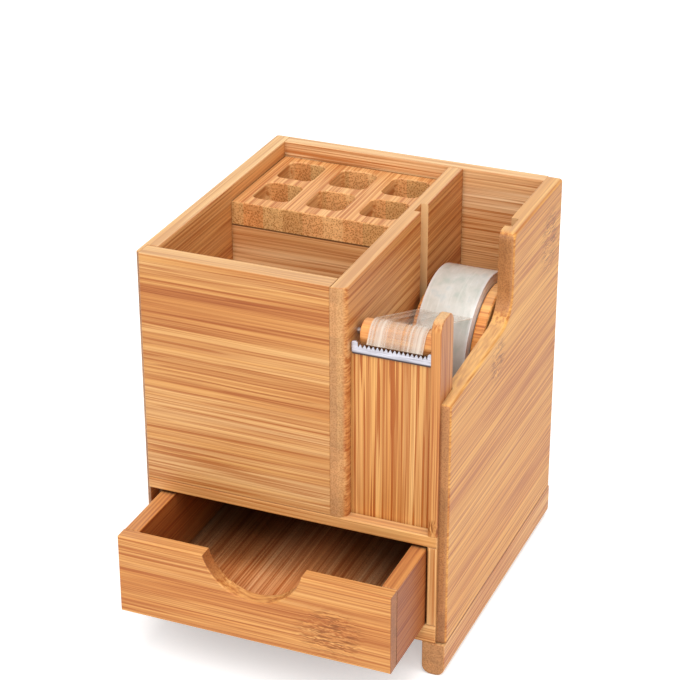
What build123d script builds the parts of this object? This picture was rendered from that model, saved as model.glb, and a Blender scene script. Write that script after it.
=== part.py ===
from build123d import *
from math import acos, atan2, cos, hypot, radians, sin
import os

# Desk organizer in laminated bamboo: a tall well, a six-hole grid with a bay below it, a tape
# bay with a lift-out spool, a guide roller and a toothed blade, and a drawer underneath.
# Millimetres. X runs to the right along the front, Y to the back, Z up.
# The origin is on the desk, under the middle of the whole object with the drawer part-way out.

# ---- case ----
case_width = 110.0
case_depth = 113.0
case_top = 137.5
runner_height = 12.5
runner_width = 8.0
runner_round = 3.2
board = 5.5
front_board = 7.2
front_proud = 1.2
shelf_thickness = 4.2
base_thickness = 7.0
drawer_bay_height = 30.2
left_skin = 1.6
right_skin = 3.3
outer_round = 1.3
edge_round = 0.5
divider_round = 3.0

# ---- six-hole grid behind the tall well ----
grid_depth = 46.0
grid_drop = 5.5
grid_thickness = 8.5
grid_columns = 3
grid_rows = 2
grid_side_margin = 4.5
grid_column_bar = 6.0
grid_front_margin = 5.8
grid_rear_margin = 4.2
grid_row_bar = 5.2
hole_corner_radius = 3.2

# ---- tape roll and spool ----
tape_width = 19.0
tape_radius = 26.0
core_inner_radius = 12.5
core_wall = 1.5
core_overhang = 0.2
hub_clearance = 0.1
disc_thickness = 4.0
left_disc_radius = 17.5
right_disc_radius = 22.5
disc_round = 0.8
disc_side_gap = 1.25
axle_radius = 3.2
axle_height = 90.0
axle_end_gap = 0.3
bore_clearance = 0.08
slot_clearance = 0.3
slot_depth = 2.6
roll_back_gap = 12.5
step_wall = 6.0

# ---- step in the right side panel, where the roll is within reach ----
step_front_height = 102.5
step_back_height = 107.0
step_hollow_radius = 10.0
step_top_radius = 3.0

# ---- post, panel and guide roller in front of the roll ----
post_reveal = 1.2
post_depth = 11.7
post_top = 131.5
post_round = 4.0
tape_panel_recess = 3.3
tape_panel_top = 113.8
guide_radius = 4.5
guide_front_gap = 1.7
guide_panel_gap = 0.3
guide_left_gap = 2.2
guide_right_gap = 0.75
guide_round = 0.4
pin_radius = 1.0
pin_seat = 2.0
pin_clearance = 0.08

# ---- film from the roll over the guide roller to the blade ----
film_thickness = 0.25
film_gap = 0.3
film_peel_angle = 45.0

# ---- blade and its two brads ----
blade_thickness = 0.5
blade_rise = 4.3
blade_lap = 0.3
blade_flange = 3.2
blade_end_gap = 0.4
tooth_count = 16
tooth_height = 1.1
tab_width = 2.2
tab_rise = 1.1
tab_round = 0.9
brad_radius = 0.4
brad_length = 5.0
brad_head_radius = 0.9
brad_head_height = 0.4
brad_inset = 7.5

# ---- drawer ----
drawer_open = 31.3
drawer_back_gap = 4.7
drawer_board = 5.5
drawer_bottom_thickness = 3.0
drawer_bottom_rise = 1.0
drawer_side_gap = 0.3
drawer_floor_gap = 0.3
drawer_top_gap = 0.9
finger_notch_width = 35.0
finger_notch_depth = 13.5

# ---- planes and sizes that several pieces share ----
x_left = -case_width / 2
x_right = case_width / 2
x_left_inner = x_left + board
x_right_inner = x_right - board
x_left_rebate = x_left + left_skin
x_right_rebate = x_right - right_skin
core_width = tape_width + 2 * core_overhang
tape_bay_width = core_width + 2 * (disc_thickness + disc_side_gap)
x_divider_right = x_right_inner - tape_bay_width
x_divider_left = x_divider_right - board
x_post = x_right_inner - post_reveal
x_spool = x_right_inner - tape_bay_width / 2

y_case = -(case_depth - drawer_open - front_proud) / 2
y_back = y_case + case_depth
y_back_inner = y_back - board
y_proud = y_case - front_proud
y_front_inner = y_proud + front_board
y_post_back = y_proud + post_depth
y_grid = y_back_inner - grid_depth
y_axle = y_back_inner - roll_back_gap - tape_radius
slot_radius = axle_radius + slot_clearance
y_step = y_axle - slot_radius - step_wall
y_tape_panel = y_case + tape_panel_recess
y_guide = y_tape_panel + guide_front_gap + guide_radius

z_side = runner_height
z_base = z_side + base_thickness
z_shelf = z_base + drawer_bay_height
z_floor = z_shelf + shelf_thickness
z_grid = case_top - grid_drop
z_grid_below = z_grid - grid_thickness
z_guide = tape_panel_top + guide_panel_gap + guide_radius
z_tab = tape_panel_top + blade_rise
z_tip = z_tab - tab_rise

os.makedirs("parts", exist_ok=True)


def block(x_low, x_high, y_low, y_high, z_low, z_high, mode=Mode.ADD):
    """A square-cut block between two opposite corners, in the part that is open."""
    with Locations(((x_low + x_high) / 2, (y_low + y_high) / 2, (z_low + z_high) / 2)):
        Box(x_high - x_low, y_high - y_low, z_high - z_low, mode=mode)


def bar(x_low, x_high, y, z, radius, mode=Mode.ADD):
    """A round bar or hole along X, in the part that is open."""
    with Locations(((x_low + x_high) / 2, y, z)):
        Cylinder(radius, x_high - x_low, rotation=(0, 90, 0), mode=mode)


def axle_slot(x_low, x_high):
    """The groove, open at the top and round at the bottom, that an axle end drops into."""
    bar(x_low, x_high, y_axle, axle_height, slot_radius, Mode.SUBTRACT)
    block(x_low, x_high, y_axle - slot_radius, y_axle + slot_radius, axle_height, case_top,
          Mode.SUBTRACT)


def upright_edges(piece, x, y):
    """The upright edges of a piece that stand at x and y."""
    return piece.edges().filter_by(Axis.Z).filter_by(
        lambda edge: abs(edge.center().X - x) < 0.01 and abs(edge.center().Y - y) < 0.01)


def cross_edges(piece, y, z):
    """The edges of a piece that run along X at y and z."""
    return piece.edges().filter_by(Axis.X).filter_by(
        lambda edge: abs(edge.center().Y - y) < 0.01 and abs(edge.center().Z - z) < 0.01)


def soften(piece, axis, side=-1):
    """Sand the outline of a piece's first (0) or last (-1) face along an axis."""
    fillet(piece.faces().filter_by(axis).sort_by(axis)[side].edges(), edge_round)


def save(piece, name):
    """Label a finished piece and write it to its own file."""
    piece.part.label = name
    export_step(piece.part, "parts/" + name + ".step")


# ---- side panels: their front inside corners are rebated for the front pieces ----
with BuildPart() as left_side_panel:
    block(x_left, x_left_inner, y_case, y_back, z_side, case_top)
    block(x_left_rebate, x_left_inner, y_case, y_front_inner, z_side, case_top, Mode.SUBTRACT)
    fillet(upright_edges(left_side_panel, x_left, y_case), outer_round)
    fillet(upright_edges(left_side_panel, x_left, y_back), outer_round)
    soften(left_side_panel, Axis.Z)
save(left_side_panel, "left_side_panel")

with BuildPart() as right_side_panel:
    with BuildSketch(Plane.YZ.offset(x_right_inner)):
        with BuildLine():
            Polyline(
                (y_case, z_side),
                (y_case, step_front_height),
                (y_step, step_back_height),
                (y_step, case_top),
                (y_back, case_top),
                (y_back, z_side),
                close=True,
            )
        make_face()
    extrude(amount=board)
    block(x_right_inner, x_right_rebate, y_case, y_post_back, z_side, step_back_height,
          Mode.SUBTRACT)
    fillet(cross_edges(right_side_panel, y_step, step_back_height), step_hollow_radius)
    fillet(cross_edges(right_side_panel, y_step, case_top), step_top_radius)
    fillet(cross_edges(right_side_panel, y_back, case_top), outer_round)
    fillet(upright_edges(right_side_panel, x_right, y_case), outer_round)
    fillet(upright_edges(right_side_panel, x_right, y_back), outer_round)
    soften(right_side_panel, Axis.X)
    axle_slot(x_right_inner, x_right_inner + slot_depth)
save(right_side_panel, "right_side_panel")

# ---- back, front and divider ----
with BuildPart() as back_panel:
    block(x_left_inner, x_right_inner, y_back_inner, y_back, z_side, case_top)
    fillet(cross_edges(back_panel, y_back_inner, case_top), edge_round)
    fillet(cross_edges(back_panel, y_back, case_top), edge_round)
save(back_panel, "back_panel")

with BuildPart() as front_panel:
    block(x_left_rebate, x_divider_left, y_proud, y_front_inner, z_floor, case_top)
    soften(front_panel, Axis.Y, 0)
    fillet(cross_edges(front_panel, y_front_inner, case_top), edge_round)
save(front_panel, "front_panel")

with BuildPart() as divider_panel:
    block(x_divider_left, x_divider_right, y_proud, y_back_inner, z_floor, case_top)
    fillet(upright_edges(divider_panel, x_divider_right, y_proud), divider_round)
    soften(divider_panel, Axis.Z)
    axle_slot(x_divider_right - slot_depth, x_divider_right)
    bar(x_divider_right - pin_seat, x_divider_right, y_guide, z_guide, pin_radius, Mode.SUBTRACT)
save(divider_panel, "divider_panel")


# ---- shelf above the drawer, and base below it ----
def level_board(z_low, z_high):
    """A board that fills the case at one level, with its front ends in both rebates."""
    block(x_left_inner, x_right_inner, y_proud, y_back_inner, z_low, z_high)
    block(x_left_rebate, x_left_inner, y_proud, y_front_inner, z_low, z_high)
    block(x_right_inner, x_right_rebate, y_proud, y_post_back, z_low, z_high)


with BuildPart() as shelf_board:
    level_board(z_shelf, z_floor)
    soften(shelf_board, Axis.Y, 0)
save(shelf_board, "shelf_board")

with BuildPart() as base_board:
    level_board(z_side, z_base)
    soften(base_board, Axis.Y, 0)
save(base_board, "base_board")

# ---- runners: bars with well-rounded undersides that the case stands on ----
for name, x_low in (("runner_left", x_left), ("runner_right", x_right - runner_width)):
    with BuildPart() as runner:
        block(x_low, x_low + runner_width, y_proud, y_back, 0, z_side)
        fillet(runner.edges().filter_by(Axis.Y).group_by(Axis.Z)[0], runner_round)
        soften(runner, Axis.Y, 0)
    save(runner, name)

# ---- strips in the right rebate: the liner beside the drawer and the post beside the blade ----
with BuildPart() as bay_liner:
    block(x_post, x_right_rebate, y_proud, y_post_back, z_base, z_shelf)
    soften(bay_liner, Axis.Y, 0)
save(bay_liner, "bay_liner")

with BuildPart() as cheek_post:
    block(x_post, x_right_rebate, y_proud, y_post_back, z_floor, post_top)
    fillet(cross_edges(cheek_post, y_proud, post_top), post_round)
    fillet(cross_edges(cheek_post, y_post_back, post_top), post_round)
    soften(cheek_post, Axis.X)
    soften(cheek_post, Axis.X, 0)
    bar(x_post, x_post + pin_seat, y_guide, z_guide, pin_radius, Mode.SUBTRACT)
save(cheek_post, "cheek_post")

# ---- grid: a plate with two rows of round-cornered holes, on a partition across the case ----
well_width = x_divider_left - x_left_inner
hole_width = (well_width - 2 * grid_side_margin
              - (grid_columns - 1) * grid_column_bar) / grid_columns
hole_length = (grid_depth - grid_front_margin - grid_rear_margin
               - (grid_rows - 1) * grid_row_bar) / grid_rows
x_holes = (x_left_inner + x_divider_left) / 2
y_holes = (y_grid + grid_front_margin + y_back_inner - grid_rear_margin) / 2
with BuildPart() as slot_grid:
    block(x_left_inner, x_divider_left, y_grid, y_back_inner, z_grid_below, z_grid)
    with BuildSketch(Plane.XY.offset(z_grid)):
        with Locations((x_holes, y_holes)):
            with GridLocations(hole_width + grid_column_bar, hole_length + grid_row_bar,
                               grid_columns, grid_rows):
                RectangleRounded(hole_width, hole_length, hole_corner_radius)
    extrude(amount=-grid_thickness, mode=Mode.SUBTRACT)
    soften(slot_grid, Axis.Z)
save(slot_grid, "slot_grid")

with BuildPart() as partition_panel:
    block(x_left_inner, x_divider_left, y_grid, y_grid + board, z_floor, z_grid_below)
save(partition_panel, "partition_panel")

# ---- panel below the blade, the bent toothed blade on its top edge, and two brads ----
x_brads = (x_divider_right + brad_inset, x_post - brad_inset)
y_brads = y_tape_panel + blade_flange / 2
z_flange = tape_panel_top + blade_thickness


def brad_bodies(mode):
    """The shanks of the two brads, as metal or as the holes they fill."""
    for x in x_brads:
        with Locations((x, y_brads, z_flange - brad_length / 2)):
            Cylinder(brad_radius, brad_length, mode=mode)


with BuildPart() as tape_front_panel:
    block(x_divider_right, x_post, y_tape_panel, y_tape_panel + board, z_floor, tape_panel_top)
    brad_bodies(Mode.SUBTRACT)
save(tape_front_panel, "tape_front_panel")

x_blade_left = x_divider_right + blade_end_gap
x_blade_right = x_post - blade_end_gap
x_teeth_left = x_blade_left + tab_width
tooth_pitch = (x_blade_right - tab_width - x_teeth_left) / tooth_count
z_blade_low = tape_panel_top - blade_lap
outline = [(x_blade_left, z_blade_low), (x_blade_left, z_tab), (x_teeth_left, z_tab)]
for tooth in range(tooth_count):
    outline.append((x_teeth_left + tooth * tooth_pitch, z_tip - tooth_height))
    outline.append((x_teeth_left + (tooth + 0.5) * tooth_pitch, z_tip))
outline.append((x_blade_right - tab_width, z_tip - tooth_height))
outline.append((x_blade_right - tab_width, z_tab))
outline.append((x_blade_right, z_tab))
outline.append((x_blade_right, z_blade_low))
with BuildPart() as cutter_blade:
    with BuildSketch(Plane.XZ.offset(-y_tape_panel)):
        with BuildLine():
            Polyline(*outline, close=True)
        make_face()
    extrude(amount=blade_thickness)
    fillet(cutter_blade.edges().filter_by(Axis.Y).group_by(Axis.Z)[-1], tab_round)
    block(x_blade_left, x_blade_right, y_tape_panel - blade_thickness,
          y_tape_panel + blade_flange, tape_panel_top, z_flange)
    brad_bodies(Mode.SUBTRACT)
save(cutter_blade, "cutter_blade")

with BuildPart() as blade_brads:
    brad_bodies(Mode.ADD)
    for x in x_brads:
        with Locations((x, y_brads, z_flange + brad_head_height / 2)):
            Cylinder(brad_head_radius, brad_head_height)
save(blade_brads, "blade_brads")

# ---- guide roller on a steel pin between divider and post ----
with BuildPart() as roller_pin:
    bar(x_divider_right - pin_seat, x_post + pin_seat, y_guide, z_guide, pin_radius)
save(roller_pin, "roller_pin")

x_guide_left = x_divider_right + guide_left_gap
x_guide_right = x_post - guide_right_gap
with BuildPart() as guide_roller:
    bar(x_guide_left, x_guide_right, y_guide, z_guide, guide_radius)
    fillet(guide_roller.edges().filter_by(GeomType.CIRCLE), guide_round)
    bar(x_guide_left, x_guide_right, y_guide, z_guide, pin_radius + pin_clearance, Mode.SUBTRACT)
save(guide_roller, "guide_roller")

# ---- spool: an axle that drops into the two grooves, and a hub and two discs that turn on it ----
x_core_left = x_spool - core_width / 2
x_core_right = x_spool + core_width / 2
bore_radius = axle_radius + bore_clearance
with BuildPart() as spool_axle:
    bar(x_divider_right - slot_depth + axle_end_gap, x_right_inner + slot_depth - axle_end_gap,
        y_axle, axle_height, axle_radius)
save(spool_axle, "spool_axle")

with BuildPart() as spool_hub:
    bar(x_core_left, x_core_right, y_axle, axle_height, core_inner_radius - hub_clearance)
    bar(x_core_left, x_core_right, y_axle, axle_height, bore_radius, Mode.SUBTRACT)
save(spool_hub, "spool_hub")

for name, x_low, disc_radius in (
        ("spool_disc_left", x_core_left - disc_thickness, left_disc_radius),
        ("spool_disc_right", x_core_right, right_disc_radius)):
    x_high = x_low + disc_thickness
    with BuildPart() as spool_disc:
        bar(x_low, x_high, y_axle, axle_height, disc_radius)
        fillet(spool_disc.edges().filter_by(GeomType.CIRCLE), disc_round)
        bar(x_low, x_high, y_axle, axle_height, bore_radius, Mode.SUBTRACT)
    save(spool_disc, name)

# ---- tape: a cardboard core, the roll wound on it, and the film drawn off the roll ----
core_radius = core_inner_radius + core_wall
with BuildPart() as tape_core:
    bar(x_core_left, x_core_right, y_axle, axle_height, core_radius)
    bar(x_core_left, x_core_right, y_axle, axle_height, core_inner_radius, Mode.SUBTRACT)
save(tape_core, "tape_core")

x_tape_left = x_spool - tape_width / 2
x_tape_right = x_spool + tape_width / 2
with BuildPart() as tape_roll:
    bar(x_tape_left, x_tape_right, y_axle, axle_height, tape_radius)
    bar(x_tape_left, x_tape_right, y_axle, axle_height, core_radius, Mode.SUBTRACT)
save(tape_roll, "tape_roll")


def off_centre(centre, angle, distance):
    """The point (y, z) at an angle and a distance from a centre; angles turn from Y to Z."""
    return centre[0] + distance * cos(angle), centre[1] + distance * sin(angle)


def contact_angle(point, side):
    """Where a straight film from a point first touches the circle it follows on the roller."""
    y_off = point[0] - y_guide
    z_off = point[1] - z_guide
    return atan2(z_off, y_off) + side * acos(film_radius / hypot(y_off, z_off))


guide_centre = (y_guide, z_guide)
film_radius = guide_radius + film_gap
peel_point = off_centre((y_axle, axle_height), radians(90 + film_peel_angle),
                        tape_radius + film_gap)
cut_point = (y_tape_panel - blade_thickness / 2, z_tip + film_gap)
peel_contact = contact_angle(peel_point, 1)
cut_contact = contact_angle(cut_point, -1) % radians(360)


def film_side(distance):
    """One face of the film, a distance off its lower face, from the roll to the blade."""
    radius = film_radius + distance
    touch = off_centre(guide_centre, peel_contact, radius)
    crest = off_centre(guide_centre, (peel_contact + cut_contact) / 2, radius)
    leave = off_centre(guide_centre, cut_contact, radius)
    start = off_centre(peel_point, peel_contact, distance)
    end = off_centre(cut_point, cut_contact, distance)
    Line(start, touch)
    ThreePointArc(touch, crest, leave)
    Line(leave, end)
    return start, end


with BuildPart() as tape_film:
    with BuildSketch(Plane.YZ.offset(x_tape_left)) as film_profile:
        with BuildLine():
            lower_start, lower_end = film_side(0)
            upper_start, upper_end = film_side(film_thickness)
            Line(lower_start, upper_start)
            Line(lower_end, upper_end)
        make_face()
    extrude(amount=tape_width)
save(tape_film, "tape_film")

# ---- drawer: four boards round a thin bottom, with a finger notch in the front ----
x_drawer_left = x_left_inner + drawer_side_gap
x_drawer_right = x_post - drawer_side_gap
y_drawer_front = y_proud - drawer_open
y_drawer_back = y_back_inner - drawer_back_gap - drawer_open
y_behind_front = y_drawer_front + drawer_board
z_drawer = z_base + drawer_floor_gap
z_drawer_top = z_shelf - drawer_top_gap
z_drawer_bottom = z_drawer + drawer_bottom_rise
notch_radius = (finger_notch_width ** 2 / 4 + finger_notch_depth ** 2) / (2 * finger_notch_depth)
z_notch = z_drawer_top - finger_notch_depth + notch_radius
with BuildPart() as drawer_front:
    block(x_drawer_left, x_drawer_right, y_drawer_front, y_behind_front, z_drawer, z_drawer_top)
    with Locations(((x_drawer_left + x_drawer_right) / 2,
                    (y_drawer_front + y_behind_front) / 2, z_notch)):
        Cylinder(notch_radius, drawer_board, rotation=(90, 0, 0), mode=Mode.SUBTRACT)
    soften(drawer_front, Axis.Y, 0)
    soften(drawer_front, Axis.Y)
save(drawer_front, "drawer_front")

for name, x_low in (("drawer_left_side", x_drawer_left),
                    ("drawer_right_side", x_drawer_right - drawer_board)):
    with BuildPart() as drawer_side:
        block(x_low, x_low + drawer_board, y_behind_front, y_drawer_back, z_drawer, z_drawer_top)
        soften(drawer_side, Axis.Z)
    save(drawer_side, name)

x_inside_left = x_drawer_left + drawer_board
x_inside_right = x_drawer_right - drawer_board
y_inside_back = y_drawer_back - drawer_board
with BuildPart() as drawer_back:
    block(x_inside_left, x_inside_right, y_inside_back, y_drawer_back, z_drawer, z_drawer_top)
save(drawer_back, "drawer_back")

with BuildPart() as drawer_bottom:
    block(x_inside_left, x_inside_right, y_behind_front, y_inside_back,
          z_drawer_bottom, z_drawer_bottom + drawer_bottom_thickness)
save(drawer_bottom, "drawer_bottom")
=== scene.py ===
# %% [markdown]
# # A bamboo desk organizer with a tape dispenser and a drawer
# The boards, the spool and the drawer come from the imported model, which is loaded as a fixed
# frame in metres. This lesson gives each piece its finish and makes the finer pieces anew:
# the toothed blade, the film and the wound roll. Blender's lengths are metres, and MM turns a
# value in millimetres into them, so 5.5 * MM is the thickness of a board.

# %% Load the frame
import bpy
import bmesh
import math
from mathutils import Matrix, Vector


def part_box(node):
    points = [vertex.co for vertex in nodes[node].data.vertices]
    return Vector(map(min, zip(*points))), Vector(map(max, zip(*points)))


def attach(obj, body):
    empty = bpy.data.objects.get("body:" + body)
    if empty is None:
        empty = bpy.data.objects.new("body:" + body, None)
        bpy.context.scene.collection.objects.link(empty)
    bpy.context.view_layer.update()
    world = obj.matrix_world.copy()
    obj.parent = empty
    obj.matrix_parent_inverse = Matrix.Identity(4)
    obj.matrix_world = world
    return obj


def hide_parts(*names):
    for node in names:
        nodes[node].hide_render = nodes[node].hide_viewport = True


MM = 0.001
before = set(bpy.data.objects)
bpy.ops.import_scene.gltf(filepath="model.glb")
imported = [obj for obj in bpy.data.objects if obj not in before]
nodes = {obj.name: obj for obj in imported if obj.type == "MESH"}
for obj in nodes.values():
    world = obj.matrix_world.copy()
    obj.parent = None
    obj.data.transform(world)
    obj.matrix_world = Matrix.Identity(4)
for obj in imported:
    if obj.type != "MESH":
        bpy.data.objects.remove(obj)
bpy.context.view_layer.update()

# %% [markdown]
# ## Camera
# A product photograph is taken from a step away with a long lens, so that parallel edges stay
# nearly parallel. A camera in Blender looks along its own -Z axis, and to_track_quat turns
# that axis towards the object. The lens length is in millimetres on a 36 mm sensor.

# %% Camera at the photograph's angle
camera_data = bpy.data.cameras.new("camera")
camera_data.lens = 114.2
camera_data.shift_x = -0.017
camera = bpy.data.objects.new("camera", camera_data)
scene = bpy.context.scene
scene.collection.objects.link(camera)
target = Vector((-0.0047, 0.02245, 0.0857))
camera.location = Vector((0.2539, -0.6049, 0.4255))
camera.rotation_mode = "QUATERNION"
camera.rotation_quaternion = (target - camera.location).to_track_quat("-Z", "Y")
scene.camera = camera
print("camera distance:", round((target - camera.location).length, 3), "m")

# %% [markdown]
# ## Light and floor
# Soft light from all around shows a colour about as it is written. Three large area lamps, a
# strong one in front and above, one over the object and a weaker one at the right, give the
# boards a light side and a shaded side. The floor is white: for the camera it also glows a
# little, which makes the paper-white ground of a catalogue picture and still leaves the shadow.
# Steel and film mirror that same white, so their rays count as the camera's.

# %% World, lamps and floor


def seen_directly(tree):
    """1 for rays of the camera and for those that mirror or pass clear film, else 0."""
    rays = tree.nodes.new("ShaderNodeLightPath")
    result = rays.outputs["Is Camera Ray"]
    for name in ("Is Transmission Ray", "Is Glossy Ray"):
        larger = tree.nodes.new("ShaderNodeMath")
        larger.operation = "MAXIMUM"
        tree.links.new(result, larger.inputs[0])
        tree.links.new(rays.outputs[name], larger.inputs[1])
        result = larger.outputs[0]
    return result


SKY_LIGHT, SKY_SEEN = 0.68, 1.0
scene.view_settings.view_transform = "Standard"
world = bpy.data.worlds.new("studio")
world.use_nodes = True
scene.world = world
sky = world.node_tree
background = sky.nodes["Background"]
background.inputs["Color"].default_value = (1, 1, 1, 1)
strength = sky.nodes.new("ShaderNodeMapRange")
strength.inputs["To Min"].default_value = SKY_LIGHT
strength.inputs["To Max"].default_value = SKY_SEEN
sky.links.new(seen_directly(sky), strength.inputs["Value"])
sky.links.new(strength.outputs[0], background.inputs["Strength"])

OBJECT_MIDDLE = Vector((0, 0, 0.07))


def softbox(name, place, size, power):
    """A square lamp, with its power in watts, that faces the middle of the object."""
    data = bpy.data.lights.new(name, "AREA")
    data.size = size
    data.energy = power
    lamp = bpy.data.objects.new(name, data)
    scene.collection.objects.link(lamp)
    lamp.location = place
    lamp.rotation_mode = "QUATERNION"
    lamp.rotation_quaternion = (OBJECT_MIDDLE - lamp.location).to_track_quat("-Z", "Y")


softbox("key_lamp", Vector((0.30, -0.95, 0.98)), 0.7, 7.5)
softbox("right_lamp", Vector((1.1, -0.35, 0.75)), 0.8, 2.6)
softbox("top_lamp", Vector((0.05, -0.45, 1.45)), 0.7, 6.0)

FLOOR_REACH, FLOOR_GREY, FLOOR_GLOW = 40, 0.86, 0.40
floor_data = bpy.data.meshes.new("floor")
floor_data.from_pydata([(x * FLOOR_REACH, y * FLOOR_REACH, 0) for x, y in
                        ((-1, -1), (1, -1), (1, 1), (-1, 1))], [], [(0, 1, 2, 3)])
floor = bpy.data.objects.new("floor", floor_data)
scene.collection.objects.link(floor)
floor_paint = bpy.data.materials.new("floor_white")
floor_paint.use_nodes = True
tree = floor_paint.node_tree
tree.nodes.clear()
matt = tree.nodes.new("ShaderNodeBsdfDiffuse")
matt.inputs["Color"].default_value = (FLOOR_GREY, FLOOR_GREY, FLOOR_GREY, 1)
glow = tree.nodes.new("ShaderNodeEmission")
level = tree.nodes.new("ShaderNodeMath")
level.operation = "MULTIPLY"
level.inputs[1].default_value = FLOOR_GLOW
tree.links.new(seen_directly(tree), level.inputs[0])
tree.links.new(level.outputs[0], glow.inputs["Strength"])
both = tree.nodes.new("ShaderNodeAddShader")
tree.links.new(matt.outputs[0], both.inputs[0])
tree.links.new(glow.outputs[0], both.inputs[1])
surface = tree.nodes.new("ShaderNodeOutputMaterial")
tree.links.new(both.outputs[0], surface.inputs["Surface"])
floor_data.materials.append(floor_paint)

# %% [markdown]
# ## Laminated bamboo
# Bamboo board is glued up from strips. Along a strip run fine fibres and softer bands, each
# strip has its own tone, and its sawn end shows the fibres as dots. All of it is worked out
# from a place on the board, with X along the grain, Y across it and Z through the board.
# Stretching a noise a hundred times along X turns its blobs into fibres. These helpers add the
# nodes, so that a material reads like a sum.

# %% Small helpers for materials


def new_material(name):
    """A material with its node tree and the shader in it."""
    material = bpy.data.materials.new(name)
    material.use_nodes = True
    return material, material.node_tree, material.node_tree.nodes["Principled BSDF"]


def srgb(code):
    """A colour written as in a picture editor, in the linear values that shaders use."""
    parts = [int(code[i:i + 2], 16) / 255 for i in (1, 3, 5)]
    return (*[c / 12.92 if c <= 0.04045 else ((c + 0.055) / 1.055) ** 2.4 for c in parts], 1)


def add(tree, kind, feeds=(), **settings):
    """A new node. Settings are its own properties; feeds are (socket, value or output)."""
    node = tree.nodes.new("ShaderNode" + kind)
    for name, value in settings.items():
        setattr(node, name, value)
    for socket, value in feeds:
        if isinstance(value, bpy.types.NodeSocket):
            tree.links.new(value, node.inputs[socket])
        else:
            node.inputs[socket].default_value = value
    return node


def maths(tree, operation, a, b=0.0, c=0.0):
    """One sum on numbers or outputs, and its result."""
    return add(tree, "Math", ((0, a), (1, b), (2, c)), operation=operation).outputs[0]


def stretch(tree, place, scale, shift=(0, 0, 0)):
    """A place made larger or smaller along each axis, so that a noise on it stretches."""
    return add(tree, "VectorMath", ((0, place), (1, scale), (2, shift)),
               operation="MULTIPLY_ADD").outputs[0]


def noise(tree, place, detail=2.0, roughness=0.5):
    """A noise from 0 to 1 at a place."""
    return add(tree, "TexNoise", (("Vector", place), ("Scale", 1.0), ("Detail", detail),
                                  ("Roughness", roughness))).outputs["Fac"]


def blend(tree, share, a, b, kind="MIX"):
    """Two colours mixed by a share."""
    mix = add(tree, "Mix", ((0, share), (6, a), (7, b)), data_type="RGBA", blend_type=kind)
    return mix.outputs[2]


def ramp(tree, value, stops):
    """A colour ramp from (position, colour code) stops."""
    node = add(tree, "ValToRGB", (("Fac", value),))
    for number, (position, code) in enumerate(stops):
        if number < 2:
            stop = node.color_ramp.elements[number]
            stop.position = position
        else:
            stop = node.color_ramp.elements.new(position)
        stop.color = srgb(code)
    return node.outputs["Color"]


# %% [markdown]
# ## One group for all the bamboo
# A node group is written once and used by every board, so that all boards are of one wood.
# Its inputs say which strips and fibres a board shows, and its outputs are plain numbers that
# the board's own material turns into colour. Noise gives the fibres and bands, a white noise
# picks one tone per strip, and cells make the dots of a sawn end.

# %% The bamboo node group
group = bpy.data.node_groups.new("laminated_bamboo", "ShaderNodeTree")
for name, kind in (("Place", "NodeSocketVector"), ("Seed", "NodeSocketFloat"),
                   ("Strip", "NodeSocketFloat"), ("Ply", "NodeSocketFloat"),
                   ("Strip tone", "NodeSocketFloat"), ("Bands", "NodeSocketFloat"),
                   ("Hairs", "NodeSocketFloat"), ("Knot", "NodeSocketFloat")):
    group.interface.new_socket(name, in_out="INPUT", socket_type=kind)
for name, kind in (("Tone", "NodeSocketFloat"), ("Dots", "NodeSocketFloat"),
                   ("Dash", "NodeSocketFloat"), ("Strip white", "NodeSocketFloat"),
                   ("Fibre", "NodeSocketFloat")):
    group.interface.new_socket(name, in_out="OUTPUT", socket_type=kind)
given = group.nodes.new("NodeGroupInput")
ask = given.outputs
shift = add(group, "CombineXYZ", ((0, ask["Seed"]), (1, ask["Seed"]), (2, ask["Seed"])))
shifted = add(group, "VectorMath", ((0, ask["Place"]), (1, shift.outputs[0])), operation="ADD")
raw = shifted.outputs[0]
split = add(group, "SeparateXYZ", ((0, raw),))
own = add(group, "SeparateXYZ", ((0, ask["Place"]),))

# the fibres wander a little, and more where a knot disturbs them
wander = noise(group, stretch(group, raw, (16, 40, 40)), 1.0)
ripple = noise(group, stretch(group, raw, (260, 420, 420)), 2.0, 0.6)
sway = maths(group, "MULTIPLY_ADD", maths(group, "SUBTRACT", wander, 0.5), 0.0008,
             split.outputs["Y"])
knotted = maths(group, "MULTIPLY", maths(group, "SUBTRACT", ripple, 0.5),
                maths(group, "MULTIPLY", ask["Knot"], 0.0045))
across = maths(group, "ADD", sway, knotted)
fibre_place = add(group, "CombineXYZ", ((0, split.outputs["X"]), (1, across),
                                        (2, split.outputs["Z"]))).outputs[0]
fine = noise(group, stretch(group, fibre_place, (11, 1350, 1100)), 2.0, 0.6)
band = noise(group, stretch(group, fibre_place, (6, 430, 330)), 2.0, 0.6)
broad = noise(group, stretch(group, fibre_place, (3, 85, 70)), 1.0)

# each strip and each ply has its own tone
strip_number = maths(group, "FLOOR", maths(group, "DIVIDE", own.outputs["Y"], ask["Strip"]))
ply_number = maths(group, "FLOOR", maths(group, "DIVIDE", own.outputs["Z"], ask["Ply"]))
strip_key = add(group, "CombineXYZ", ((0, strip_number), (1, ply_number), (2, ask["Seed"])))
strip_white = add(group, "TexWhiteNoise", (("Vector", strip_key.outputs[0]),)).outputs["Value"]
strip_shift = maths(group, "MULTIPLY", maths(group, "SUBTRACT", strip_white, 0.5),
                    ask["Strip tone"])

both = maths(group, "SUBTRACT", maths(group, "ADD", band, broad), 1.0)
tone = maths(group, "MULTIPLY_ADD", both, ask["Bands"], 0.5)
tone = maths(group, "ADD", tone, strip_shift)

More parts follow.
